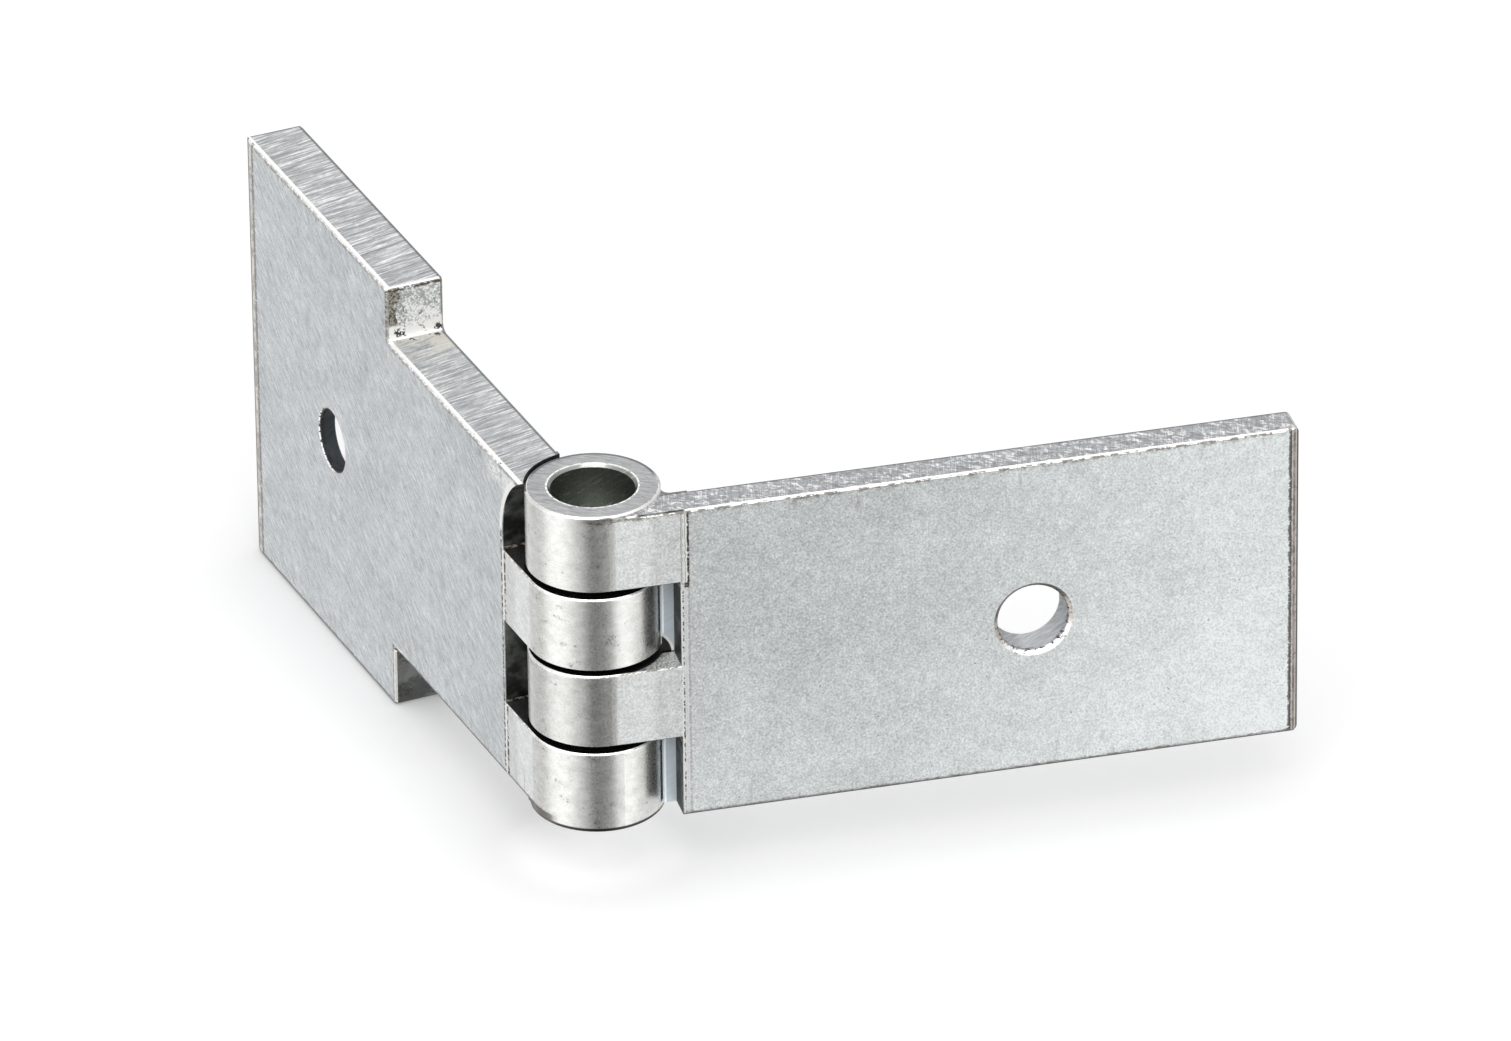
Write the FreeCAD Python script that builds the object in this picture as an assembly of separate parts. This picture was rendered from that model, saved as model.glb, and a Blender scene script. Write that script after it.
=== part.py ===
import FreeCAD, Part
import math
import os
from FreeCAD import Vector

# Heavy butt hinge: a plain leaf and a stepped leaf turn about one pin in four knuckles.
# The pin's axis is Z and z = 0 is the barrel's lower end. The plain leaf points along +X.
# All sizes are in millimetres.

# Barrel and pin
barrel_diameter = 16.0
pin_diameter = 10.0
pin_length = 30.0
pin_recess = 6.2            # from the barrel's upper end down to the pin
pin_bevel = 0.6
running_clearance = 0.05    # between the pin and the knuckles that turn on it, on the radius
bore_bevel = 0.35
barrel_end_bevel = 0.2      # outer rim at the two ends of the barrel
knuckle_bevel = 0.15        # outer rims between the knuckles

# Heights of the four knuckles and the gaps between them, from the lower end up
first_knuckle = 10.6
second_knuckle = 9.6
third_knuckle = 9.6
fourth_knuckle = 10.1
first_gap = 0.9
second_gap = 0.7
third_gap = 0.9

# Slots that clear the other leaf's knuckles
slot_reach = 8.5            # from the pin's axis to the slot's end wall
turning_clearance = 0.15    # between a knuckle and the hollow cut round it
relief_depth = 3.6          # depth of the straight cut behind the outer face
root_fillet = 1.0           # between a knuckle and the back of its leaf
runout_radius = 3.4         # round end that the cutter leaves over the second knuckle
runout_depth = 3.95         # of that round end, which stops short of the leaf's back
corner_cut_radius = 10.6    # round upper corner of the stepped leaf's top slot
corner_cut_height = 2.2     # centre of that corner above the slot's floor

# Plain leaf
plain_length = 83.8         # from the pin's axis
plain_height = 41.1
plain_thickness = 4.6
plain_bottom = 0.85         # above the barrel's lower end
plain_hole_diameter = 8.6
plain_hole_along = 51.3
plain_hole_up = 20.15       # above the leaf's lower edge
plain_hole_bevel = 0.55     # rim of that hole in the outer face
plain_end_bevel_width = 0.9
plain_end_bevel_depth = 0.5

# Stepped leaf
stepped_length = 85.5       # from the pin's axis
neck_height = 41.9
stepped_thickness = 7.4
neck_bottom = 0.8           # above the barrel's lower end
wing_start = 42.2           # from the pin's axis
wing_rise = 7.1             # the wing's upper edge above the neck's
wing_drop = 8.0             # the wing's lower edge below the neck's
wing_hole_diameter = 7.8
wing_hole_along = 60.2
wing_hole_up = 27.5         # above the wing's lower edge
wing_sink_diameter = 18.6   # mouth of the screw head's sink in the wing's inner face
stepped_end_bevel_width = 1.4
stepped_end_bevel_depth = 0.4
step_fillet = 0.8           # inner corners of the two steps

# Shared finish
edge_bevel = 0.3            # long edges of the leaves
corner_radius = 0.7         # outer corners of the leaves
hole_bevel = 0.25
rest_opening = 100.0        # angle between the leaves as modelled, in degrees

barrel_radius = barrel_diameter / 2
pin_radius = pin_diameter / 2
hollow_radius = barrel_radius + turning_clearance
neck_overlap = 2 * root_fillet   # the knuckle's section runs this far past the slot's end wall
over = 1.0                       # how far a cutter runs past what it cuts


def stack(heights, gaps):
    """Lower and upper height of each knuckle."""
    spans = []
    low = 0.0
    for height, gap in zip(heights, gaps + [0.0]):
        spans.append((low, low + height))
        low += height + gap
    return spans


knuckles = stack([first_knuckle, second_knuckle, third_knuckle, fourth_knuckle],
                 [first_gap, second_gap, third_gap])
barrel_length = knuckles[-1][1]


class Leaf:
    """One leaf along +X. side is -1 when its outer face looks towards -Y, and 1 towards +Y."""

    def __init__(self, side, own, bottom, height, thickness, bore_radius):
        self.side = side
        self.own = [knuckles[number] for number in own]
        self.bottom = bottom
        self.top = bottom + height
        self.thickness = thickness
        self.bore_radius = bore_radius

    def at(self, along, depth, z):
        """A point given by its distance from the axis and its depth behind the outer face."""
        return Vector(along, self.side * (barrel_radius - depth), z)

    def block(self, along, depth, z):
        """A box between two distances along the leaf, two depths and two heights."""
        outline = [self.at(along[0], depth[0], z[0]), self.at(along[1], depth[0], z[0]),
                   self.at(along[1], depth[1], z[0]), self.at(along[0], depth[1], z[0])]
        return Part.Face(Part.makePolygon(outline + outline[:1])).extrude(Vector(0, 0, z[1] - z[0]))

    def upright(self, points, depth):
        """A prism whose outline is drawn on the leaf's face as (along, z) points."""
        corners = [self.at(along, depth[0], z) for along, z in points]
        through = self.at(0, depth[1], 0) - self.at(0, depth[0], 0)
        return Part.Face(Part.makePolygon(corners + corners[:1])).extrude(through)

    def disc(self, along, z, radius, depth):
        """A round cutter that stands square to the leaf's face."""
        through = self.at(0, depth[1], 0) - self.at(0, depth[0], 0)
        return Part.makeCylinder(radius, through.Length, self.at(along, depth[0], z), through)

    def plate(self, outline, rounded, hollowed):
        """The flat of the leaf beyond its slots, with rounded corners and bevelled edges."""
        solid = self.upright(outline, (0, self.thickness))
        for corners, radius in ((rounded, corner_radius), (hollowed, step_fillet)):
            picked = [edge for edge in solid.Edges if self.is_corner(edge, corners)]
            if picked:
                solid = solid.makeFillet(radius, picked)
        faces = [self.at(0, 0, 0).y, self.at(0, self.thickness, 0).y]
        rims = []
        for edge in solid.Edges:
            ends = [vertex.Point for vertex in edge.Vertexes]
            in_face = any(all(abs(end.y - face) < 1e-6 for end in ends) for face in faces)
            at_slot = all(abs(end.x - slot_reach) < 1e-6 for end in ends)
            if in_face and not at_slot:
                rims.append(edge)
        return solid.makeChamfer(edge_bevel, rims)

    def is_corner(self, edge, corners):
        """Whether an edge crosses the leaf's thickness at one of the (along, z) corners."""
        first, last = edge.Vertexes[0].Point, edge.Vertexes[-1].Point
        crosses = abs(first.y - last.y) > self.thickness / 2
        return crosses and any(math.hypot(first.x - along, first.z - z) < 1e-6 for along, z in corners)

    def knuckle_section(self):
        """Barrel and neck in one outline: the outer face is tangent to the barrel."""
        seat = self.thickness + root_fillet
        centre_depth = barrel_radius - seat
        root = math.sqrt((barrel_radius + root_fillet) ** 2 - centre_depth ** 2)
        centre = self.at(root, seat, 0)
        on_barrel = centre * (barrel_radius / (barrel_radius + root_fillet))
        on_leaf = self.at(root, self.thickness, 0)
        towards = (on_barrel - centre).normalize() + (on_leaf - centre).normalize()
        hollow = centre + towards.normalize() * root_fillet
        end = slot_reach + neck_overlap
        tangent = self.at(0, 0, 0)
        edges = [Part.LineSegment(tangent, self.at(end, 0, 0)),
                 Part.LineSegment(self.at(end, 0, 0), self.at(end, self.thickness, 0)),
                 Part.LineSegment(self.at(end, self.thickness, 0), on_leaf),
                 Part.Arc(on_leaf, hollow, on_barrel),
                 Part.Arc(on_barrel, Vector(-barrel_radius, 0, 0), tangent)]
        return Part.Face(Part.Wire([edge.toShape() for edge in edges]))

    def knuckle(self, low, high):
        """A knuckle: a turned barrel, and the neck that joins it to the leaf."""
        foot, head = max(low, self.bottom), min(high, self.top)
        section = self.knuckle_section()
        section.translate(Vector(0, 0, foot))
        solid = section.extrude(Vector(0, 0, head - foot))
        free_ends = [z for z in (low, high) if foot <= z <= head]
        solid = solid.makeChamfer(knuckle_bevel, [edge for edge in solid.Edges
                                                  if self.is_rim(edge, free_ends)])
        for z, way in ((self.top, -1), (self.bottom, 1)):
            if low < z < high:
                solid = solid.cut(self.edge_cutter(z, way))
        if low < foot:
            solid = solid.fuse(self.barrel_end(foot, low))
        if high > head:
            solid = solid.fuse(self.barrel_end(head, high))
        return solid

    def is_rim(self, edge, heights):
        """Whether an edge of the knuckle's section lies at one of the heights, clear of the leaf."""
        ends = [vertex.Point for vertex in edge.Vertexes]
        level = any(all(abs(end.z - z) < 1e-6 for end in ends) for z in heights)
        return level and not all(abs(end.x - slot_reach - neck_overlap) < 1e-6 for end in ends)

    def barrel_end(self, seat, rim):
        """The end of the barrel that stands proud of the leaf, with its outer rim bevelled."""
        way = math.copysign(1, rim - seat)
        stub = Part.makeCylinder(barrel_radius, abs(rim - seat), Vector(0, 0, seat), Vector(0, 0, way))
        outer = [edge for edge in stub.Edges if edge.Closed and abs(edge.Vertexes[0].Z - rim) < 1e-6]
        return stub.makeChamfer(min(barrel_end_bevel, 0.9 * abs(rim - seat)), outer)

    def edge_cutter(self, z, way):
        """The wedge that bevels the neck's outer edge, from where the barrel leaves the face."""
        start = math.sqrt(barrel_radius ** 2 - (barrel_radius - edge_bevel) ** 2)
        end = slot_reach + neck_overlap + over
        wedge = [self.at(start, -over, z + way * (edge_bevel + over)),
                 self.at(start, edge_bevel + over, z - way * over),
                 self.at(start, -over, z - way * over)]
        return Part.Face(Part.makePolygon(wedge + wedge[:1])).extrude(Vector(end - start, 0, 0))

    def lip(self, low, high):
        """What the round hollow leaves behind the straight cut in a slot."""
        bar = self.block((barrel_radius / 2, slot_reach + edge_bevel), (relief_depth, self.thickness),
                         (low, high))
        return bar.cut(Part.makeCylinder(hollow_radius, high - low + 2 * over, Vector(0, 0, low - over)))

    def hole(self, along, z, diameter, outer_sink, inner_sink):
        """A drilled hole with a right-angled sink in each face, given by how deep it goes."""
        radius = diameter / 2
        drill = self.disc(along, z, radius, (-over, self.thickness + over))
        inward = (self.at(0, 1, 0) - self.at(0, 0, 0)).normalize()
        for depth, way, deep in ((0, inward, outer_sink), (self.thickness, -inward, inner_sink)):
            mouth = self.at(along, depth, z) - way * over
            sink = Part.makeCone(radius + deep + over, radius, deep + over, mouth, way)
            drill = drill.fuse(sink)
        return drill

    def end_bevel(self, length, width, depth, low, high):
        """The wide shallow bevel on the outer edge of the leaf's free end."""
        corners = [self.at(length - width, 0, low - over), self.at(length, depth, low - over),
                   self.at(length + over, depth, low - over), self.at(length + over, -over, low - over),
                   self.at(length - width, -over, low - over)]
        prism = Part.Face(Part.makePolygon(corners + corners[:1]))
        return prism.extrude(Vector(0, 0, high - low + 2 * over))

    def bored(self, solid):
        """The leaf with its bore, and with the rims of its bore and barrel broken."""
        cutters = [Part.makeCylinder(self.bore_radius, barrel_length + 2 * over, Vector(0, 0, -over))]
        for z, way in ((0.0, 1), (barrel_length, -1)):
            if any(z in span for span in self.own):
                cutters.append(Part.makeCone(self.bore_radius + bore_bevel + over, self.bore_radius,
                                             bore_bevel + over, Vector(0, 0, z - way * over),
                                             Vector(0, 0, way)))
        return solid.cut(cutters)


def clean(solid):
    """One solid with no needless seams."""
    solid = solid.removeSplitter()
    return solid.Solids[0] if len(solid.Solids) == 1 else solid


def plain_leaf():
    leaf = Leaf(-1, (1, 3), plain_bottom, plain_height, plain_thickness, pin_radius)
    corners = [(slot_reach, leaf.bottom), (plain_length, leaf.bottom),
               (plain_length, leaf.top), (slot_reach, leaf.top)]
    body = leaf.plate(corners, corners[1:3], [])
    lower_slot = (leaf.bottom, leaf.own[0][0])
    upper_slot = (leaf.own[0][1], leaf.own[1][0])
    lips = [leaf.lip(*lower_slot), leaf.lip(*upper_slot)]
    runout = leaf.disc(slot_reach - runout_radius, upper_slot[0], runout_radius,
                       (relief_depth - over, runout_depth))
    above = leaf.block((0, slot_reach), (-over, leaf.thickness + over), upper_slot)
    lips[1] = lips[1].cut(runout.common(above))
    body = body.fuse(lips + [leaf.knuckle(*span) for span in leaf.own])
    body = body.cut(leaf.end_bevel(plain_length, plain_end_bevel_width, plain_end_bevel_depth,
                                   leaf.bottom, leaf.top))
    body = body.cut(leaf.hole(plain_hole_along, leaf.bottom + plain_hole_up, plain_hole_diameter,
                              plain_hole_bevel, hole_bevel))
    return clean(leaf.bored(body))


def stepped_leaf():
    leaf = Leaf(1, (0, 2), neck_bottom, neck_height, stepped_thickness, pin_radius + running_clearance)
    wing_bottom = leaf.bottom - wing_drop
    wing_top = leaf.top + wing_rise
    lower_step = [(wing_start, leaf.bottom), (wing_start, wing_bottom)]
    upper_step = [(wing_start, wing_top), (wing_start, leaf.top)]
    far_corners = [(stepped_length, wing_bottom), (stepped_length, wing_top)]
    outline = ([(slot_reach, leaf.bottom)] + lower_step + far_corners + upper_step
               + [(slot_reach, leaf.top)])
    body = leaf.plate(outline, far_corners + [lower_step[1], upper_step[0]],
                      [lower_step[0], upper_step[1]])
    middle_slot = (leaf.own[0][1], leaf.own[1][0])
    top_slot = (leaf.own[1][1], leaf.top)
    corner = leaf.block((0, slot_reach + edge_bevel), (0, leaf.thickness), top_slot)
    corner = corner.cut(leaf.disc(slot_reach - corner_cut_radius, top_slot[0] + corner_cut_height,
                                  corner_cut_radius, (-over, leaf.thickness + over)))
    hollow = Part.makeCylinder(hollow_radius, leaf.top - top_slot[0] + 2 * over,
                               Vector(0, 0, top_slot[0] - over))
    corner = corner.cut(hollow)
    body = body.fuse([leaf.lip(*middle_slot), leaf.lip(*top_slot), corner]
                     + [leaf.knuckle(*span) for span in leaf.own])
    body = body.cut(leaf.end_bevel(stepped_length, stepped_end_bevel_width, stepped_end_bevel_depth,
                                   wing_bottom, wing_top))
    body = body.cut(leaf.hole(wing_hole_along, wing_bottom + wing_hole_up, wing_hole_diameter,
                              hole_bevel, (wing_sink_diameter - wing_hole_diameter) / 2))
    body = clean(leaf.bored(body))
    body.rotate(Vector(0, 0, 0), Vector(0, 0, 1), rest_opening)
    return body


def hinge_pin():
    foot = barrel_length - pin_recess - pin_length
    pin = Part.makeCylinder(pin_radius, pin_length, Vector(0, 0, foot))
    rims = [edge for edge in pin.Edges if edge.Closed]
    return pin.makeChamfer(pin_bevel, rims)


parts = {"plain_leaf": plain_leaf(), "stepped_leaf": stepped_leaf(), "hinge_pin": hinge_pin()}

for name, solid in parts.items():
    box = solid.BoundBox
    print(name, "solids", len(solid.Solids), "valid", solid.isValid(), "volume", round(solid.Volume, 1),
          "from", [round(v, 2) for v in (box.XMin, box.YMin, box.ZMin)],
          "to", [round(v, 2) for v in (box.XMax, box.YMax, box.ZMax)])
    solid.exportStep("parts/" + name + ".step")
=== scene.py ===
"""Looks of a two-leaf barrel hinge: ground and zinc plated steel, on a pale studio table."""
import math

import bpy
from mathutils import Matrix, Vector


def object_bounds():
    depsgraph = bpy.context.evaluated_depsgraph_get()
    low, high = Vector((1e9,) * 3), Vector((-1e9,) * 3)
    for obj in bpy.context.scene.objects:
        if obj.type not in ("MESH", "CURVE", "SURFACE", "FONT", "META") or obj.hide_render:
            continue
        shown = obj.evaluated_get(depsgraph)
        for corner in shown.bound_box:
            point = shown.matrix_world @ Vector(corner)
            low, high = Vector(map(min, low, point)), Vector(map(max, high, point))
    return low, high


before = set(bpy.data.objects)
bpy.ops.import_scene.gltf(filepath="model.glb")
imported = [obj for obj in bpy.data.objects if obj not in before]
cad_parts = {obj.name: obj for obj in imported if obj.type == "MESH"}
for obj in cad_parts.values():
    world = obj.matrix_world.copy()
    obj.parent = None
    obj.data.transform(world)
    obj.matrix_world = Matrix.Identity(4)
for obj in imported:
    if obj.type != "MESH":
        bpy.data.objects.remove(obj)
cad_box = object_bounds()

# The hinge in its own millimetres and degrees, as the CAD has it
MM_PER_METRE = 1000.0
OPENING = 100.0
BARREL_RADIUS = 8.0
KNUCKLE_TOPS = (10.5, 20.98, 31.28, 42.3)
BARREL_MIDDLE = 21.2
NECK_UNDERSIDES = (10.8, 31.6)
STEP = 42.2
LIP_BEND = 7.16
RUNOUT_ALONG, RUNOUT_UP, RUNOUT_REACH = 5.1, 20.8, 3.34

# How squarely a surface faces a direction before it counts as facing it
FACES_UP = (0.80, 0.97)
FACES_OUT = (0.85, 0.98)

# The camera, fitted to the photograph: angles in degrees, lengths in metres
CAMERA_TURN = 14.08
CAMERA_TILT = 29.11
CAMERA_ROLL = 0.69
CAMERA_DISTANCE = 1.9013
AIM_ASIDE = 0.01903
AIM_HEIGHT = 0.03740
FOCAL_PIXELS = 16228
PHOTO_WIDTH = 1511
SENSOR_WIDTH = 36

# The sheet that the hinge stands on, in metres, the glow that is left right below a piece, which
# paints its shadow, and how near that piece has to be, and the radius in mm of the painted light
# patch under the barrel
SHEET_SIZE = 8.0
SHEET_GAP = 0.0001
CORNER_GLOW = 0.25
CORNER_REACH = 0.016
LIGHT_PATCH_RADIUS = 12.5

# The light that matt surfaces get from the room, and that the metal mirrors from above: the
# same all over, and then what is added towards the zenith
ROOM_LIGHT = 0.64
OVERHEAD, ZENITH = 0.95, 0.9

# The tent that the metal reflects, in panels: bearing from the camera's side, half widths of
# the full and of the fading part in degrees, and the light that the panel adds
TENT_PANELS = (
    (-66, 8, 34, 0.55),
    (-108, 8, 30, -0.2),
    (50, 4, 26, 0.6),
    (12, 4, 36, -0.745),
    (-14, 5, 24, -0.22),
    (180, 8, 38, -0.5),
)


def rgb(red, green, blue):
    """A colour given as it looks on screen, 0 to 255, as the shader's linear one."""
    linear = (((c / 255 + 0.055) / 1.055) ** 2.4 if c > 10 else c / 3295 for c in (red, green, blue))
    return tuple(linear) + (1.0,)


def grey(level):
    """A colour that is the same in red, green and blue, given as the shader's linear value."""
    return (level, level, level, 1)


WHITE = rgb(255, 255, 255)


class Value:
    """A number that changes over a surface; sums and products of it add Math nodes."""

    def __init__(self, finish, socket):
        self.finish, self.socket = finish, socket

    def sum_node(self, operation, *terms):
        return self.finish.node("ShaderNodeMath", {"operation": operation}, dict(enumerate(terms)))

    def __add__(self, other):
        return self.sum_node("ADD", self, other)

    __radd__ = __add__

    def __mul__(self, other):
        return self.sum_node("MULTIPLY", self, other)

    __rmul__ = __mul__

    def __sub__(self, other):
        return self.sum_node("SUBTRACT", self, other)

    def __rsub__(self, other):
        return self.sum_node("SUBTRACT", other, self)

    def __truediv__(self, other):
        return self.sum_node("DIVIDE", self, other)

    def __pow__(self, other):
        return self.sum_node("POWER", self, other)

    def __abs__(self):
        return self.sum_node("ABSOLUTE", self)

    def least(self, other):
        return self.sum_node("MINIMUM", self, other)

    def most(self, other):
        return self.sum_node("MAXIMUM", self, other)

    def rise(self, low, high):
        """0 below low and 1 above high, with a soft step between; low above high turns it round."""
        return self.finish.node("ShaderNodeMapRange", {"interpolation_type": "SMOOTHSTEP"},
                                {"Value": self, "From Min": low, "From Max": high})


def line(value, centre, half):
    """1 next to the centre, fading to 0 where the value is further than half from it."""
    return abs(value - centre).rise(half, half * 0.5)


def distance(across, up):
    """How far a place is from a point, given by its two offsets from it."""
    return (across ** 2 + up ** 2) ** 0.5


class Finish:
    """A node tree being laid out: one method adds a node, the rest name what this hinge needs."""

    def __init__(self, tree):
        self.tree = tree

    def join(self, node, sockets):
        """Gives a node's sockets their values, or links them to worked out ones."""
        for key, value in sockets.items():
            if isinstance(value, Value):
                self.tree.links.new(value.socket, node.inputs[key])
            else:
                node.inputs[key].default_value = value

    def node(self, kind, settings, sockets, output=0):
        """Adds a node: its settings come first, then the values or links of its sockets."""
        node = self.tree.nodes.new(kind)
        for name, value in settings.items():
            setattr(node, name, value)
        self.join(node, sockets)
        return Value(self, node.outputs[output]) if node.outputs else None

    def place(self, turn):
        """Finds the spot in millimetres and the way the surface faces, both turned about the pin."""
        turn = (0, 0, math.radians(turn))
        here = self.node("ShaderNodeTexCoord", {}, {}, "Object")
        self.spot = self.node("ShaderNodeMapping", {"vector_type": "POINT"},
                              {"Vector": here, "Rotation": turn, "Scale": (MM_PER_METRE,) * 3})
        facing = self.node("ShaderNodeTexCoord", {}, {}, "Normal")
        self.facing = self.node("ShaderNodeMapping", {"vector_type": "VECTOR"},
                                {"Vector": facing, "Rotation": turn})

    def parts(self, vector):
        """The three numbers of a vector."""
        return [self.node("ShaderNodeSeparateXYZ", {}, {0: vector}, i) for i in range(3)]

    def mix(self, share, first, second):
        """Colour between two: first where share is 0, second where it is 1."""
        return self.node("ShaderNodeMix", {"data_type": "RGBA"}, {0: share, 6: first, 7: second}, 2)

    def shade(self, colour, amount):
        """The colour multiplied by a number that changes over the surface."""
        if not isinstance(colour, Value):
            colour = colour[:3]
        amounts = self.node("ShaderNodeCombineXYZ", {}, {0: amount, 1: amount, 2: amount})
        return self.node("ShaderNodeVectorMath", {"operation": "MULTIPLY"}, {0: colour, 1: amounts})

    def stretched(self, grain, turn=(0, 0, 0), shift=(0, 0, 0)):
        """The spot, turned and then divided by a grain size in mm along each axis."""
        turned = self.node("ShaderNodeMapping", {"vector_type": "POINT"},
                           {"Vector": self.spot, "Rotation": tuple(math.radians(a) for a in turn),
                            "Location": shift})
        return self.node("ShaderNodeMapping", {"vector_type": "POINT"},
                         {"Vector": turned, "Scale": tuple(1.0 / g for g in grain)})

    def noise(self, grain, detail=2.0, rough=0.5, turn=(0, 0, 0), shift=(0, 0, 0), warp=0.0):
        """Cloudy noise about 0.5; grain is its size in mm along each axis."""
        return self.node("ShaderNodeTexNoise", {},
                         {"Vector": self.stretched(grain, turn, shift), "Scale": 1.0,
                          "Detail": detail, "Roughness": rough, "Distortion": warp})

    def specks(self, spacing, size, share):
        """Small round marks: spacing and size in mm, share is how many cells have one."""
        sockets = {"Vector": self.stretched((spacing,) * 3), "Scale": 1.0, "Randomness": 1.0}
        apart = self.node("ShaderNodeTexVoronoi", {}, sockets, "Distance")
        draw = self.node("ShaderNodeTexVoronoi", {}, sockets, "Color")
        pick = self.parts(draw)[0].rise(1 - share, 1 - 0.8 * share)
        return apart.rise(size / spacing, 0.4 * size / spacing) * pick


class SteelFinish(Finish):
    """A new material for one piece of the hinge."""

    def __init__(self, name, turn=0.0):
        self.material = bpy.data.materials.new(name)
        self.material.use_nodes = True
        super().__init__(self.material.node_tree)
        self.shader = self.tree.nodes["Principled BSDF"]
        self.place(turn)

    def coat(self, colour, roughness, metal, height, strength):
        """Joins the worked out surface to the shader; height is in mm."""
        relief = self.node("ShaderNodeBump", {},
                           {"Strength": strength, "Distance": 1 / MM_PER_METRE, "Height": height})
        self.join(self.shader, {"Base Color": colour, "Roughness": roughness, "Metallic": metal,
                                "Normal": relief})


class LeafFinish(SteelFinish):
    """The zinc of one leaf, laid on in layers: each takes the colour so far and returns the next.

    along runs from the pin's axis to the leaf's far end, up is the height, depth starts at the
    outer face, radius at the pin's axis, and near is the distance to the broad face's edge.
    Each leaf gives its side of the pin and its sizes in mm, its tones, how brushed it is (0 is
    mottled, 1 is brushed), and the shares of those layers that differ between the two."""

    def __init__(self):
        super().__init__(self.name, self.turn)
        self.along, self.across, self.up = self.parts(self.spot)
        self.face_x, face_y, self.face_z = self.parts(self.facing)
        self.depth = BARREL_RADIUS - self.across * self.side
        self.outward = face_y * self.side
        self.radius = (self.along * self.along + self.across * self.across) ** 0.5
        self.near = self.edge_distance()
        self.metal = 0.60

        # which kind of surface a spot is on
        steep = abs(self.face_z)
        self.flat_on = steep.rise(*FACES_UP)
        self.upward = self.face_z.rise(*FACES_UP)
        self.broad = abs(self.outward).rise(*FACES_OUT)
        self.bevel = steep.rise(0.25, 0.45) * steep.rise(0.95, 0.8)
        self.upper_bevel = self.bevel * self.face_z.rise(0.1, 0.3)
        self.neck = (self.outward.rise(*FACES_OUT) * self.along.rise(0.2, 0.9)
                     * self.depth.rise(0.5, 0.4) * self.along.rise(*self.neck_end))
        clear, touching = BARREL_RADIUS + 0.12, BARREL_RADIUS + 0.04
        self.on_barrel = self.radius.rise(clear, touching)
        self.off_barrel = self.radius.rise(touching, clear)
        self.barrel = self.on_barrel * (1 - self.flat_on) * (1 - self.neck)
        self.ring = self.radius.rise(clear, BARREL_RADIUS - 0.02) * self.upward
        self.sawn_top = self.upward * (1 - self.ring)
        self.slot = self.depth.rise(0.05, 0.2) * self.along.rise(9.4, 8.9) * self.off_barrel

        # patterns that more than one layer reads
        self.fine = self.noise((0.26, 0.26, 0.26), 3, 0.6)
        self.cloudy = self.noise((5, 5, 3.5), 3, 0.6, shift=(20, 4, 9))
        self.wear = self.noise((1.2, 1.2, 1.2), 4, 0.7, shift=(11, 2, 5))
        self.dirt = self.noise((0.7, 0.7, 0.35), 4, 0.7, shift=(1, 9, 4))
        self.scratch = self.noise((2.5, 2.5, 0.3), 3, 0.6, turn=(35, 20, 0))
        self.rim_specks = self.noise((0.5, 0.5, 0.5), 3, 0.7, shift=(8, 8, 1))
        self.wavy = self.along + (self.dirt - 0.5) * 0.5

    def lay(self):
        """Lays all layers, from the ground plate up, and returns the material."""
        colour = self.ground_plate()
        for layer in self.layers():
            colour = layer(colour)
        roughness = (0.50 + (self.fine - 0.5) * 0.25 - self.barrel * 0.20
                     - self.bevel * 0.1 + self.flat_on * 0.02)
        height = (self.mottle * 0.035 * self.broad
                  + self.cuts * 0.10 * self.flat_on * (1 - self.ring)
                  + self.turned * 0.012 * self.barrel - self.pits * 0.04)
        self.coat(colour, roughness, self.metal, height, 0.6)
        return self.material

    def ground_plate(self):
        """Mottled or brushed zinc with painted light towards the far end and the bottom, and hair
        cracks in the plating.
        """
        grain = self.noise((1.3, 1.3, 1.3), 2, 0.6, shift=(7, 3, 1))
        slant = (0, 34 * self.side, 0)
        brush = self.noise((2.6, 2.0, 0.42), 3, 0.6, turn=slant)
        brush_fine = self.noise((1.3, 1.0, 0.2), 2, 0.6, turn=slant, shift=(4, 0, 2))
        strokes = brush * 0.6 + brush_fine * 0.4
        self.mottle = ((grain * 0.22 + self.fine * 0.78) * (1 - self.brushed)
                       + (strokes * 0.8 + self.fine * 0.2) * self.brushed)
        cloud = self.noise((9, 9, 9), 3)
        tone = 1.0 + (self.mottle - 0.5) * (1.9 + self.brushed * 1.1) + (cloud - 0.5) * 0.3
        # painted light: the plate made lighter towards the far end and towards the bottom
        lighter = self.along.rise(22, self.far_end + 3) * self.far_light
        lower = self.up.rise(30, 4) * self.low_light
        plate = self.shade(self.zinc, tone + lighter + lower)
        worm = self.noise((0.8, 0.8, 0.8), 2, 0.55, shift=(13, 6, 2), warp=1.4)
        crackle = line(worm, 0.5, 0.022) * (1 - self.brushed * 0.6)
        return self.shade(plate, 1.0 + (self.cloudy - 0.5) * 0.22 - crackle * 0.16)

    def sawn_edges(self, colour):
        """Saw marks and scuffs on the upper and lower edges, white where they are freshest."""
        saw = self.noise((0.36, 6.0, 6.0), 4, 0.65, turn=(0, 0, -9 * self.side), warp=0.3)
        saw_fine = self.noise((0.15, 3.0, 3.0), 3, 0.6, turn=(0, 0, -14 * self.side),
                              shift=(3, 0, 0))
        scuffed = self.noise((1.3, 0.7, 1.0), 4, 0.62, turn=(0, 0, 35), shift=(2, 8, 0), warp=1.2)
        self.cuts = ((saw * 0.6 + saw_fine * 0.4) * self.brushed
                     + (scuffed * 0.75 + saw_fine * 0.25) * (1 - self.brushed))
        sawn = self.mix(self.cuts.rise(0.36, 0.62), *self.sawn_tones)
        sawn = self.mix(self.cuts.rise(0.52, 0.62), sawn, rgb(240, 240, 240))
        return self.mix(self.flat_on * (1 - self.ring), colour, sawn)

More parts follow.
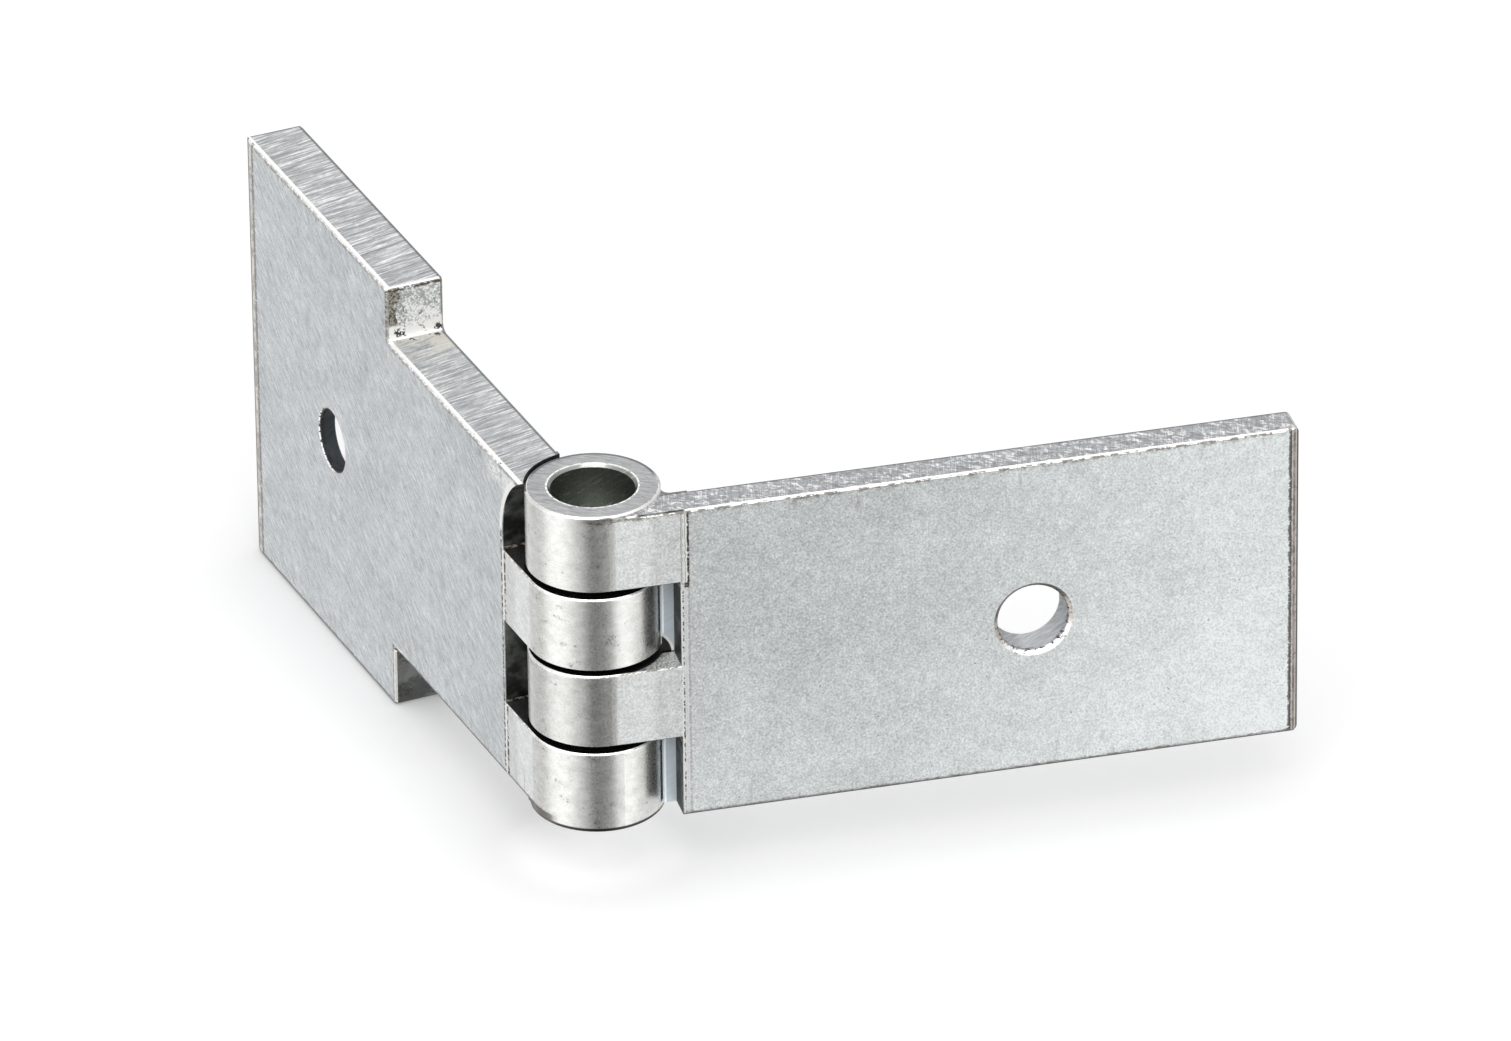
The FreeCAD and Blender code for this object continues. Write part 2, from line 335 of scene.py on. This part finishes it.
    def knuckles(self, colour):
        """The turned barrel and the necks that run into it, smoother and a little warmer; painted
        highlight on the neck, painted shade low down.
        """
        self.turned = self.noise((1.6, 1.6, 1.1), 3, 0.65, shift=(0, 5, 0))
        self.knuckle_tone = 1.0 + (self.turned - 0.5) * 0.55 + (self.fine - 0.5) * 0.55
        # painted highlight: a lighter band on the neck next to the barrel
        polish = line(self.along, 2.6, 3.4) * 0.16
        neck_tone = self.knuckle_tone + polish + (self.mottle - 0.5) * 0.9
        colour = self.mix(self.neck, colour, self.shade(rgb(216, 218, 217), neck_tone))
        # painted shade: the lower knuckles made darker
        barrel_tone = self.knuckle_tone - self.up.rise(22, 20) * self.low_knuckle_shade
        colour = self.mix(self.barrel, colour, self.shade(rgb(214, 214, 211), barrel_tone))
        self.metal = self.metal + self.barrel * 0.32
        # painted shade: the barrel's lowest rim dark
        painted_low_rim_shade = self.up.rise(0.60, 0.42) * self.radius.rise(7.4, 7.6) * self.on_barrel
        return self.mix(painted_low_rim_shade, colour, rgb(58, 58, 56))

    def end_ring(self, colour):
        """The barrel's upper end: faced with a file, its inner and outer rims bright with painted
        highlight and wear.
        """
        spin = self.noise((1.8, 0.25, 1.0), 4, 0.65, turn=(0, 0, 30), warp=0.6)
        faced = self.shade(rgb(170, 171, 172), 1.0 + (spin - 0.5) * 2.0)
        colour = self.mix(self.ring, colour, faced)
        strokes = self.noise((0.22, 2.0, 1.0), 3, 0.6, turn=(0, 0, -50), shift=(6, 1, 0), warp=0.8)
        colour = self.mix(self.ring * strokes.rise(0.62, 0.68) * 0.7, colour, rgb(96, 98, 100))
        # painted highlight and wear: white speckled rims at the ring's edges
        rim_highlight_and_wear = self.ring * (self.radius.rise(7.66, 7.78) + self.radius.rise(5.62, 5.5))
        return self.mix(rim_highlight_and_wear * self.rim_specks.rise(0.40, 0.48), colour, rgb(246, 246, 244))

    def knuckle_rims(self, colour):
        """The upper rims of the four knuckles, speckled white as a painted highlight."""
        tops = line(self.up, KNUCKLE_TOPS[0], 0.28)
        for top in KNUCKLE_TOPS[1:]:
            tops = tops.most(line(self.up, top, 0.28))
        # painted highlight: white rims at the knuckles' tops
        rims = line(self.radius, BARREL_RADIUS, 0.16) * (1 - self.flat_on) * tops
        return self.mix(rims * self.rim_specks.rise(0.40, 0.50), colour, rgb(248, 247, 244))

    def bevels(self, colour):
        """Painted highlight on the upper bevels, painted shade on the lower ones, darker back
        bevels, the shaded lower-edge line.
        """
        # painted light and shade: upper bevels bright and lower bevels dark, by which way they face
        bevel_highlight_and_shade = self.mix(self.face_z.rise(-0.2, -0.4), self.upper_bevel_highlight, rgb(56, 54, 53))
        colour = self.mix(self.bevel, colour, bevel_highlight_and_shade)
        inner = (self.depth.rise(self.thickness - 0.5, self.thickness - 0.3)
                 * self.radius.rise(9.0, 9.5))
        colour = self.mix(self.bevel * inner, colour, rgb(112, 114, 120))
        low_line = self.broad * self.near.rise(0.56, 0.44) * self.up.rise(6.0, 4.0)
        return self.mix(low_line * self.low_line_share, colour, rgb(88, 86, 86))

    def drips(self, colour):
        """Faint upright runs below the edges."""
        drip = self.noise((0.9, 0.9, 4.0), 3, 0.6, shift=(5, 5, 2))
        runs = self.broad * self.near.rise(5.0, 0.4) * drip.rise(0.58, 0.70)
        return self.mix(runs * 0.4, colour, rgb(138, 132, 126))

    def end_strip(self, colour):
        """The worn strip at the far end between two lines, and the dark outline of the end."""
        strip_start = self.far_end - self.strip_width
        outline_start = self.far_end - self.outline_width
        outer_half = self.depth.rise(0.9, 0.7)
        strip = self.along.rise(strip_start - 0.06, strip_start) * outer_half
        strip = strip * (1 - self.flat_on) * (1 - self.bevel)
        colour = self.mix(strip, colour, self.mix(self.wear.rise(0.4, 0.6), *self.strip_tones))
        inner_glint = line(self.along, strip_start + 0.24, 0.14)
        glints = inner_glint.most(line(self.along, outline_start, 0.13))
        glints = strip * glints * self.dirt.rise(0.36, 0.46)
        colour = self.mix(glints * 0.7, colour, rgb(226, 222, 216))
        ragged = self.along + (self.dirt - 0.5) * 0.7
        border = line(ragged, strip_start, 0.12 + self.stroke * 0.7) * self.dirt.rise(0.38, 0.45)
        outline = self.along.rise(outline_start, outline_start + 0.12)
        borders = (border * (1 - 0.35 * self.brushed)).most(outline)
        borders = borders * outer_half * (1 - self.flat_on)
        colour = self.mix(borders * 0.9, colour, rgb(80, 75, 72))
        end_line = (self.upward + self.upper_bevel).least(1.0) * self.depth.rise(0.4, 0.7)
        end_line = end_line * self.along.rise(self.far_end - self.outline_width * 0.84,
                                              self.far_end - self.outline_width * 0.68)
        self.metal = self.metal - end_line * 0.6
        return self.mix(end_line * 0.85, colour, rgb(90, 92, 97))

    def edge_highlight_shade_and_dirt(self, colour):
        """The rim along the top, bright with painted highlight and wear, the dark line at its back,
        painted shade below the edges, and dirt.
        """
        rim_width = 0.24 + 0.48 * self.brushed
        # painted highlight and wear: the bright rim along the top
        top_rim_highlight = self.sawn_top * self.depth.rise(rim_width, rim_width - 0.12)
        top_rim_highlight = top_rim_highlight * self.wear.rise(0.24 + 0.1 * (1 - self.brushed), 0.34)
        colour = self.mix(top_rim_highlight, colour, self.top_rim_highlight_tone)
        rim_marks = self.upper_bevel * self.depth.rise(0.19, 0.10) * self.dirt.rise(0.47, 0.52)
        colour = self.mix(rim_marks * (0.9 - 0.5 * self.brushed), colour, rgb(84, 74, 62))
        back_line = self.sawn_top * self.depth.rise(self.thickness - 0.62, self.thickness - 0.46)
        colour = self.mix(back_line * 0.75, colour, rgb(92, 94, 97))
        # painted shade: a darker band just below the edges
        painted_under_rim_shade = self.broad * self.near.rise(0.46, 0.34)
        colour = self.mix(painted_under_rim_shade * 0.45, colour, rgb(130, 128, 126))
        soil = self.broad * self.near.rise(0.85, 0.34) * self.dirt.rise(0.48, 0.58)
        return self.mix(soil * 0.75, colour, rgb(112, 104, 94))

    def stains(self, colour):
        """Pits in the plating all over, and smudges on the barrel."""
        self.pits = self.specks(1.7, 0.16, 0.28)
        colour = self.mix(self.pits * 0.6, colour, rgb(96, 92, 86))
        smudge = self.noise((2.4, 2.4, 1.6), 4, 0.7, shift=(31, 7, 12))
        smudge = self.barrel * smudge.rise(0.60, 0.68) * self.fine.rise(0.44, 0.56)
        return self.mix(smudge * 0.7, colour, rgb(110, 104, 96))

    def slots(self, colour):
        """The slots milled for the other leaf's knuckles: walls in painted shade, a pale lip with a
        painted highlight, a rough floor with painted shadow.
        """
        # painted shade: the slot walls dark, lighter towards the outer face
        wall = self.slot * self.along.rise(3.0, 3.6) * (1 - self.broad) * (1 - self.flat_on)
        gloom = self.noise((3.0, 3.0, 2.4), 3, 0.6, shift=(15, 3, 8))
        gloom = gloom.rise(0.42, 0.72) + self.scratch.rise(0.62, 0.74) * 0.25
        dark = self.mix(gloom, rgb(27, 28, 26), rgb(92, 94, 90))
        dark = self.shade(dark, 1.0 + self.depth.rise(1.8, 0.2) * 0.8)
        dark = self.mix(self.wear.rise(0.62, 0.70), dark, rgb(62, 50, 40))
        colour = self.mix(wall, colour, dark)
        bright_edge_line = self.under_necks(0.05) * self.dirt.rise(0.48, 0.54)
        colour = self.mix(wall * bright_edge_line, colour, rgb(196, 184, 170))

        lip = self.slot * self.along.rise(4.5, 5.0) * self.outward.rise(*FACES_OUT)
        # painted highlight along the lip's bend, and the lowest lip painted lighter against its
        # shade
        lip_tone = 1.0 + (self.scratch - 0.5) * 0.3 + line(self.along, LIP_BEND, 0.14) * 0.7
        lip_tone = lip_tone * (1.0 + self.up.rise(11.5, 10.0) * 0.12)
        colour = self.mix(lip, colour, self.shade(rgb(212, 222, 229), lip_tone))
        self.metal = self.metal - lip * 0.4

        inside = self.flat_on * abs(self.up - BARREL_MIDDLE).rise(20.6, 20.2)
        floor = inside * self.along.rise(9.2, 8.8) * self.radius.rise(8.1, 8.3)
        floor_tone = 0.8 + (self.fine - 0.5) * 3.4 + (self.cloudy - 0.5) * 2.0
        colour = self.mix(floor, colour, self.shade(self.slot_floor, floor_tone))
        # painted shadow: the floor black where it meets the barrel
        return self.mix(inside * self.radius.rise(8.5, 8.15), colour, rgb(20, 20, 20))

    def under_necks(self, rise):
        """Lines at the undersides of the plain leaf's two necks, moved up by rise."""
        low, high = (line(self.up, under + rise, 0.22) for under in NECK_UNDERSIDES)
        return high.most(low)

    def bolt_hole(self, colour):
        """The drilled wall, painted light on one side and painted shade at the opening, and the
        nicked rim, painted highlight and shade.
        """
        aside, above = self.along - self.hole_along, self.up - self.hole_up
        self.reach = distance(aside, above)
        drill = self.hole_radius
        self.hole_wall = self.reach.rise(drill + 0.15, drill + 0.08) * (1 - self.broad)
        lit_along, lit_up = self.hole_polish
        toward_lit_side = (aside * lit_along + above * lit_up) / self.reach
        # painted light and shade: the wall lighter on the lit side and darker towards the opening
        wall_tone = 1.0 + (self.scratch - 0.5) * 1.8 + toward_lit_side * 0.42
        wall_tone = wall_tone * (self.depth.rise(0.2, 0.9) * 0.45 + 0.55)
        colour = self.mix(self.hole_wall, colour, self.shade(self.hole_tone, wall_tone))

        rim = self.reach.rise(drill + 1.0, drill + 0.7) * (1 - self.broad) * (1 - self.hole_wall)
        self.metal = self.metal + rim * 0.35
        # painted highlight on the rim's lit side, painted shade on the other side
        rim_tone = self.mix(toward_lit_side.rise(-0.45, -0.15), rgb(128, 124, 118), rgb(206, 199, 190))
        rim_tone = self.mix(toward_lit_side.rise(0.25, 0.6), rim_tone, rgb(255, 255, 253))
        rim_tone = self.mix(self.dirt.rise(0.57, 0.61), rim_tone, rgb(60, 56, 52))
        colour = self.mix(rim * self.depth.rise(1.2, 1.0), colour, rim_tone)
        bite = line(self.reach, drill + 0.08, 0.14) * self.dirt.rise(0.50, 0.56)
        bite = bite * self.depth.rise(1.0, 0.8) * (1 - self.broad)
        return self.mix(bite, colour, rgb(64, 64, 64))

    def bore_wall(self, colour):
        """The olive grey inside of the barrel's open end."""
        olive = self.mix(self.scratch.rise(0.5, 0.75), rgb(132, 136, 130), rgb(168, 172, 164))
        return self.mix(self.radius.rise(5.5, 5.2) * (1 - self.upward), colour, olive)


class PlainLeaf(LeafFinish):
    """The thinner, rectangular leaf: fine mottled zinc, scuffed edges, a run-out over the slot."""
    name = "zinc_plain_leaf"
    side, turn = -1, 0.0
    far_end, thickness, top, bottom = 83.8, 4.6, 41.95, 0.85
    neck_end = (8.9, 8.5)
    strip_width, stroke, outline_width = 1.1, 0.2, 0.3
    hole_along, hole_up, hole_radius = 51.3, 21.0, 4.3
    hole_tone, hole_polish = rgb(162, 164, 167), (0.2, -0.98)
    zinc, brushed = rgb(206, 210, 210), 0.1
    far_light, low_light, low_knuckle_shade, low_line_share = 0.34, 0.15, 0.13, 0.4
    strip_tones = (rgb(118, 111, 106), rgb(162, 155, 150))
    sawn_tones = (rgb(134, 135, 138), rgb(189, 190, 192))
    slot_floor = rgb(228, 230, 228)
    upper_bevel_highlight = rgb(224, 223, 221)
    top_rim_highlight_tone = rgb(226, 226, 225)

    def layers(self):
        return (self.sawn_edges, self.knuckles, self.end_ring, self.far_rim, self.knuckle_rims,
                self.bevels, self.seams, self.drips, self.end_strip, self.edge_highlight_shade_and_dirt, self.stains,
                self.slots, self.runout, self.bolt_hole, self.bore_wall)

    def edge_distance(self):
        return (self.top - self.up).least(self.up - self.bottom).least(self.far_end - self.along)

    def far_rim(self, colour):
        """The ring's outer rim painted dark as shade on the side between the two leaves."""
        rim = (self.across + self.along * 0.25).rise(1.5, 3.5) * self.radius.rise(7.38, 7.50)
        rim = rim * self.radius.rise(BARREL_RADIUS + 0.12, BARREL_RADIUS + 0.08)
        rim = rim * self.up.rise(KNUCKLE_TOPS[-1] - 0.6, KNUCKLE_TOPS[-1] - 0.4)
        self.metal = self.metal - rim * 0.5
        return self.mix(rim, colour, rgb(104, 106, 108))

    def seams(self, colour):
        """The strip that the cutter burnished beside the slots, with dirt in its two borders."""
        head = self.up.rise(31.8, 32.4)
        strip = self.broad * self.wavy.rise(8.55, 8.7) * self.wavy.rise(9.5, 9.4)
        colour = self.mix(strip * (0.45 + head * 0.4), colour, rgb(232, 233, 232))
        hair = self.broad * line(self.wavy, 9.12, 0.09) * self.dirt.rise(0.34, 0.44)
        colour = self.mix(hair * (head * 0.6 + 0.1), colour, rgb(118, 112, 104))
        thin = self.broad * line(self.wavy, 8.60, 0.09) * self.dirt.rise(0.30, 0.42) * head
        colour = self.mix(thin * 0.7, colour, rgb(142, 138, 134))
        glint = self.broad * line(self.wavy, 9.24, 0.14) * (head * 0.7 + 0.2)
        low_glint = line(self.wavy, 8.62, 0.10) * (1 - head) * self.dirt.rise(0.36, 0.44)
        colour = self.mix(glint.most(self.broad * low_glint), colour, rgb(240, 240, 238))
        undersides = self.under_necks(0.02) * self.along.rise(3.0, 5.0) * self.along.rise(8.6, 8.5)
        undersides = self.broad * undersides * self.dirt.rise(0.40, 0.48)
        colour = self.mix(undersides * 0.7, colour, rgb(78, 74, 70))
        border = line(self.wavy, 9.46, 0.18) * self.dirt.rise(0.40, 0.46) * (head * 0.7 + 0.3)
        inside = line(self.wavy, 8.80, 0.12) * self.dirt.rise(0.48, 0.55) * (1 - head * 0.6)
        notch = line(self.up, 31.95, 0.45) * line(self.along, 9.25, 0.40)
        notch = notch * self.dirt.rise(0.36, 0.46)
        return self.mix(self.broad * border.most(inside).most(notch), colour, rgb(62, 55, 48))

    def runout(self, colour):
        """The round pocket where the cutter ran out above the third knuckle, black with painted
        shade, and its rim with a painted highlight.
        """
        from_cutter = distance(self.along - RUNOUT_ALONG, self.up - RUNOUT_UP)
        pocket = self.slot * self.depth.rise(3.64, 3.7) * line(self.up, 22.8, 3.6)
        # painted shade: the pocket black
        colour = self.mix(pocket * from_cutter.rise(3.5, 3.4), colour, rgb(18, 18, 18))
        # painted highlight: the bright rim of the pocket
        rim = pocket * line(from_cutter, RUNOUT_REACH, 0.24) * (1 - self.flat_on)
        return self.mix(rim, colour, rgb(250, 250, 250))


class SteppedLeaf(LeafFinish):
    """The thicker leaf with the wide wing: brushed zinc, saw marks, soot on the step."""
    name = "zinc_stepped_leaf"
    side, turn = 1, -OPENING
    far_end, thickness = 85.5, 7.4
    neck_top, neck_bottom, wing_top, wing_bottom = 42.7, 0.8, 49.8, -7.2
    neck_end = (8.35, 8.1)
    strip_width, stroke, outline_width = 2.3, 0.4, 0.95
    hole_along, hole_up, hole_radius = 60.2, 20.3, 3.9
    # painted shade: the wing's drilled wall dark
    hole_tone, hole_polish = rgb(47, 52, 55), (0.9, -0.45)
    zinc, brushed = rgb(204, 208, 210), 0.85
    far_light, low_light, low_knuckle_shade, low_line_share = 0.02, 0.0, 0.0, 0.85
    strip_tones = (rgb(178, 173, 169), rgb(228, 225, 221))
    sawn_tones = (rgb(136, 138, 140), rgb(207, 209, 210))
    # painted shade: the stepped leaf's slot floors dark
    slot_floor = rgb(62, 62, 62)
    upper_bevel_highlight = rgb(250, 249, 247)
    top_rim_highlight_tone = rgb(255, 255, 254)

    def layers(self):
        return (self.sawn_edges, self.knuckles, self.end_ring, self.knuckle_rims, self.bevels,
                self.seams, self.drips, self.end_strip, self.step_corner, self.step_face,
                self.edge_highlight_shade_and_dirt, self.stains, self.slots, self.bolt_hole, self.screw_sink,
                self.bore_wall)

    def edge_distance(self):
        wing = (self.wing_top - self.up).least(self.up - self.wing_bottom)
        neck = (self.neck_top - self.up).least(self.up - self.neck_bottom)
        return wing.least(self.far_end - self.along).least(neck.most(self.along - STEP))

    def seams(self, colour):
        """A painted highlight line with dirt beside it next to the slots, painted highlights round
        the wing's foot and on the arc, and a painted sheen.
        """
        below = self.up.rise(34.4, 33.4)
        # painted highlights along the step's edge and round the wing's foot
        bright_edge_line = line(self.wavy, STEP + 0.2, 0.22) * self.up.rise(0.9, 0.3)
        foot = line(self.up, 1.15, 0.42) * self.wavy.rise(37.5, 40.0) * self.wavy.rise(42.8, 42.5)
        bright_edge_line = self.broad * bright_edge_line.most(foot) * self.dirt.rise(0.34, 0.42)
        colour = self.mix(bright_edge_line, colour, rgb(252, 251, 248))
        # painted highlight: a bright line beside the slots and along the corner's arc
        glint = self.broad * line(self.wavy, 8.38, 0.34) * self.dirt.rise(0.34, 0.42) * below
        corner = distance(self.wavy + 2.1, self.up - 33.6)
        arc = self.broad * line(corner, 10.95, 0.55) * (1 - below)
        colour = self.mix(glint.most(arc), colour, rgb(246, 245, 242))
        # painted sheen near the neck's top edge
        shine = self.broad * line(self.up, self.neck_top - 0.5, 3.0) * line(self.wavy, 8.5, 5.0)
        colour = self.mix(shine * self.dirt.rise(0.40, 0.60) * 0.8, colour, rgb(252, 252, 250))
        soil = line(self.wavy, 7.95, 0.34).most(line(self.wavy, 8.85, 0.26))
        soil = self.broad * soil * self.dirt.rise(0.46, 0.51) * below
        return self.mix(soil, colour, rgb(76, 58, 48))

    def step_corner(self, colour):
        """The step's upright corner, and the smeared top of the neck in front of it."""
        upright = self.face_x.rise(-0.45, -0.55) * self.face_x.rise(-0.88, -0.80)
        upright = upright * line(self.along, STEP, 0.6) * (1 - self.bevel)
        sooty = self.mix(self.dirt.rise(0.44, 0.52), rgb(160, 158, 152), rgb(72, 62, 50))
        colour = self.mix(upright, colour, sooty)
        colour = self.mix(upright * self.up.rise(1.2, 0.6), colour, rgb(252, 251, 248))
        corner = self.upward * self.along.rise(35.5, 39.0)
        corner = corner * self.along.rise(STEP + 0.15, STEP - 0.05)
        smear = self.noise((2.6, 3.4, 2.0), 3, 0.6, shift=(9, 14, 3), warp=0.6)
        colour = self.mix(corner * smear.rise(0.38, 0.52) * 0.8, colour, rgb(214, 211, 201))
        soot = corner * self.along.rise(40.6, 41.4) * self.dirt.rise(0.56, 0.60)
        return self.mix(soot, colour, rgb(74, 64, 52))

    def step_face(self, colour):
        """The step's faces: flecked and crusted above the neck, darkened by painted shade with grime
        on the wing's foot below.
        """
        face = abs(self.along - STEP).rise(0.35, 0.15) * self.face_x.rise(-0.6, -0.9)
        head = face * self.up.rise(40.0, 42.0)
        flecks = self.fine * 0.55 + self.wear * 0.45 + self.up.rise(48.0, 43.0) * 0.08
        flecked = self.mix(flecks.rise(0.43, 0.59), rgb(172, 176, 173), WHITE)
        colour = self.mix(head, colour, flecked)
        back = self.depth.rise(self.thickness - 0.45, self.thickness - 0.3)
        colour = self.mix(head * back, colour, rgb(104, 102, 98))
        stain = self.noise((1.6, 1.6, 2.2), 4, 0.7, shift=(3, 6, 8))
        stain = stain + self.depth.rise(3.0, 0.8) * 0.22 - 0.04
        crust = self.mix(self.fine.rise(0.45, 0.55), rgb(96, 90, 76), rgb(168, 166, 156))
        colour = self.mix(face * stain.rise(0.57, 0.65), colour, crust)
        foot = head * (self.up + (self.cloudy - 0.5) * 3.0).rise(44.9, 44.2)
        self.metal = self.metal - foot * 0.5
        scraped = self.mix(self.wear.rise(0.56, 0.60), rgb(248, 247, 244), rgb(52, 50, 46))
        colour = self.mix(foot, colour, scraped)
        under_top = face * line(self.up, self.wing_top - 0.25, 0.5) * self.dirt.rise(0.40, 0.48)
        colour = self.mix(under_top, colour, rgb(78, 66, 54))
        # painted shade: the wing's foot face dark and mottled, darkest at its bottom edge
        shade_and_grime = (self.cloudy * 0.6 + self.dirt * 0.4).rise(0.46, 0.58)
        shade_and_grime = self.mix(shade_and_grime, rgb(44, 44, 43), rgb(98, 99, 97))
        colour = self.mix(face * self.up.rise(2.0, -1.0) * 0.92, colour, shade_and_grime)
        return self.mix(face * (self.up + 7.5).rise(0.3, 0.0), colour, rgb(44, 43, 41))

    def screw_sink(self, colour):
        """The sink for a screw head in the wing's inner side, painted white next to the drilled hole
        as a painted reflection.
        """
        sink = self.reach.rise(9.6, 9.4) * self.depth.rise(1.2, 1.4)
        sink = sink * (1 - self.hole_wall) * (1 - self.broad)
        self.metal = self.metal + sink * 0.35
        machined = self.shade(rgb(200, 203, 205), self.knuckle_tone)
        # painted reflection: the sink white next to the drilled hole
        return self.mix(sink, colour, self.mix(self.reach.rise(6.4, 5.2), machined, WHITE))


def pin_finish():
    """Ground pin steel with faint swirls and a few stains."""
    f = SteelFinish("pin_steel_dark")
    swirl = f.noise((2.0, 2.0, 0.8), 4, 0.6)
    stain = f.noise((4, 4, 4), 3, 0.6, shift=(2, 2, 2))
    colour = f.mix(swirl.rise(0.45, 0.75), rgb(140, 145, 138), rgb(190, 194, 186))
    colour = f.mix(stain.rise(0.5, 0.7) * 0.6, colour, rgb(110, 110, 100))
    f.coat(colour, 0.45 + (swirl - 0.5) * 0.2, 1.0, swirl * 0.04, 0.5)
    return f.material


def lay_table():
    """A plain pale sheet under the hinge; the metal's reflections pass through it to the tent.

    A glow brings it up to white. The glow fades where a piece is close above, a painted shadow along
    every edge, and it is raised under the barrel as painted light, since the barrel stands clear of
    the sheet."""
    bpy.ops.object.select_all(action="DESELECT")
    bpy.ops.mesh.primitive_plane_add(size=SHEET_SIZE, location=(0, 0, cad_box[0].z - SHEET_GAP))
    table = bpy.context.object
    table.name = "table"
    material = bpy.data.materials.new("pale_table")
    material.use_nodes = True
    material.node_tree.nodes.clear()
    paper = Finish(material.node_tree)
    paper.place(CAMERA_TURN)
    across, along, _ = paper.parts(paper.spot)
    # painted light: the glow is raised under the barrel to lighten the shadow there
    painted_light_under_barrel = distance((across + 0.5) / LIGHT_PATCH_RADIUS, (along - 0.6) / LIGHT_PATCH_RADIUS)
    glow_colour = paper.mix(painted_light_under_barrel.rise(1.0, 0.0), grey(0.52), grey(1.14))
    # painted shadow: the glow is dimmed wherever a piece is close above the sheet
    open_sky = paper.node("ShaderNodeAmbientOcclusion", {"samples": 16},
                          {"Distance": CORNER_REACH}, "AO")
    strength = CORNER_GLOW + open_sky * (1 - CORNER_GLOW)
    glow = paper.node("ShaderNodeEmission", {}, {"Color": glow_colour, "Strength": strength})
    matt = paper.node("ShaderNodeBsdfDiffuse", {}, {"Color": (0.56, 0.56, 0.562, 1)})
    lit = paper.node("ShaderNodeAddShader", {}, {0: matt, 1: glow})
    pale = paper.node("ShaderNodeBsdfDiffuse", {}, {"Color": grey(0.8)})
    is_camera = paper.node("ShaderNodeLightPath", {}, {}, "Is Camera Ray")
    seen = paper.node("ShaderNodeMixShader", {}, {0: is_camera, 1: pale, 2: lit})
    through = paper.node("ShaderNodeBsdfTransparent", {}, {})
    is_glossy = paper.node("ShaderNodeLightPath", {}, {}, "Is Glossy Ray")
    surface = paper.node("ShaderNodeMixShader", {}, {0: is_glossy, 1: seen, 2: through})
    paper.node("ShaderNodeOutputMaterial", {}, {"Surface": surface})
    table.data.materials.append(material)


def set_camera():
    """The photograph's view: aimed beside the pin's axis, turned, tilted and a little rolled."""
    turn, tilt, roll = (math.radians(a) for a in (CAMERA_TURN, CAMERA_TILT, CAMERA_ROLL))
    aim = Vector((AIM_ASIDE * math.cos(turn), -AIM_ASIDE * math.sin(turn), AIM_HEIGHT))
    ahead = Vector((math.sin(turn) * math.cos(tilt), math.cos(turn) * math.cos(tilt),
                    -math.sin(tilt)))
    camera = bpy.data.objects.new("camera", bpy.data.cameras.new("camera"))
    bpy.context.scene.collection.objects.link(camera)
    camera.data.lens = FOCAL_PIXELS / PHOTO_WIDTH * SENSOR_WIDTH
    camera.data.sensor_width = SENSOR_WIDTH
    camera.data.clip_end = 20
    upright = ahead.to_track_quat("-Z", "Y").to_matrix().to_4x4()
    camera.matrix_world = (Matrix.Translation(aim - ahead * CAMERA_DISTANCE) @ upright
                           @ Matrix.Rotation(-roll, 4, "Z"))
    bpy.context.scene.camera = camera


def hang_tent():
    """The studio: white all round, and for the metal a tent with a dark gap at the camera's side."""
    world = bpy.data.worlds.new("studio")
    bpy.context.scene.world = world
    world.use_nodes = True
    world.node_tree.nodes.clear()
    tent = Finish(world.node_tree)
    way = tent.node("ShaderNodeTexCoord", {}, {}, "Generated")
    way = tent.node("ShaderNodeMapping", {"vector_type": "VECTOR"},
                    {"Vector": way, "Rotation": (0, 0, math.radians(CAMERA_TURN) + math.pi / 2)})
    front, left, high = tent.parts(way)
    level = (front * front + left * left) ** 0.5
    toward, aside = front / level, left / level
    glow = 1.0
    for centre, inner, outer, light in TENT_PANELS:
        bearing = math.radians(centre)
        match = toward * math.cos(bearing) + aside * math.sin(bearing)
        edge, full = math.cos(math.radians(outer)), math.cos(math.radians(inner))
        glow = glow + match.rise(edge, full) * light
    lower = high.rise(0.3, 0.0)
    overhead = OVERHEAD + high.rise(0.5, 0.9) * ZENITH
    strengths = {"plain": 1.0, "dim": ROOM_LIGHT, "shiny": glow * lower + overhead * (1 - lower)}
    light = {name: tent.node("ShaderNodeBackground", {}, {"Color": grey(1), "Strength": strength})
             for name, strength in strengths.items()}
    is_camera = tent.node("ShaderNodeLightPath", {}, {}, "Is Camera Ray")
    is_clear = tent.node("ShaderNodeLightPath", {}, {}, "Is Transmission Ray")
    is_glossy = tent.node("ShaderNodeLightPath", {}, {}, "Is Glossy Ray")
    lit = tent.node("ShaderNodeMixShader", {}, {0: is_glossy, 1: light["dim"], 2: light["shiny"]})
    seen = tent.node("ShaderNodeMixShader", {},
                     {0: is_camera.most(is_clear), 1: lit, 2: light["plain"]})
    tent.node("ShaderNodeOutputWorld", {}, {"Surface": seen})


def hang_softbox(name, place, size, watts, at):
    """A square lamp that faces the point it is aimed at."""
    lamp = bpy.data.lights.new(name, "AREA")
    lamp.size, lamp.energy = size, watts
    softbox = bpy.data.objects.new(name, lamp)
    bpy.context.scene.collection.objects.link(softbox)
    ahead = Vector(at) - Vector(place)
    softbox.matrix_world = (Matrix.Translation(place)
                            @ ahead.to_track_quat("-Z", "Y").to_matrix().to_4x4())


finishes = {
    "plain_leaf": PlainLeaf().lay(),
    "stepped_leaf": SteppedLeaf().lay(),
    "hinge_pin": pin_finish(),
}
for name, material in finishes.items():
    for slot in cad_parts[name].material_slots:
        slot.material = material

lay_table()
set_camera()
hang_tent()
hang_softbox("front_softbox", place=(-0.40, -1.04, 1.48), size=1.4, watts=15.6, at=(0.0, 0.0, 0.02))

bpy.context.scene.view_settings.view_transform = "Standard"
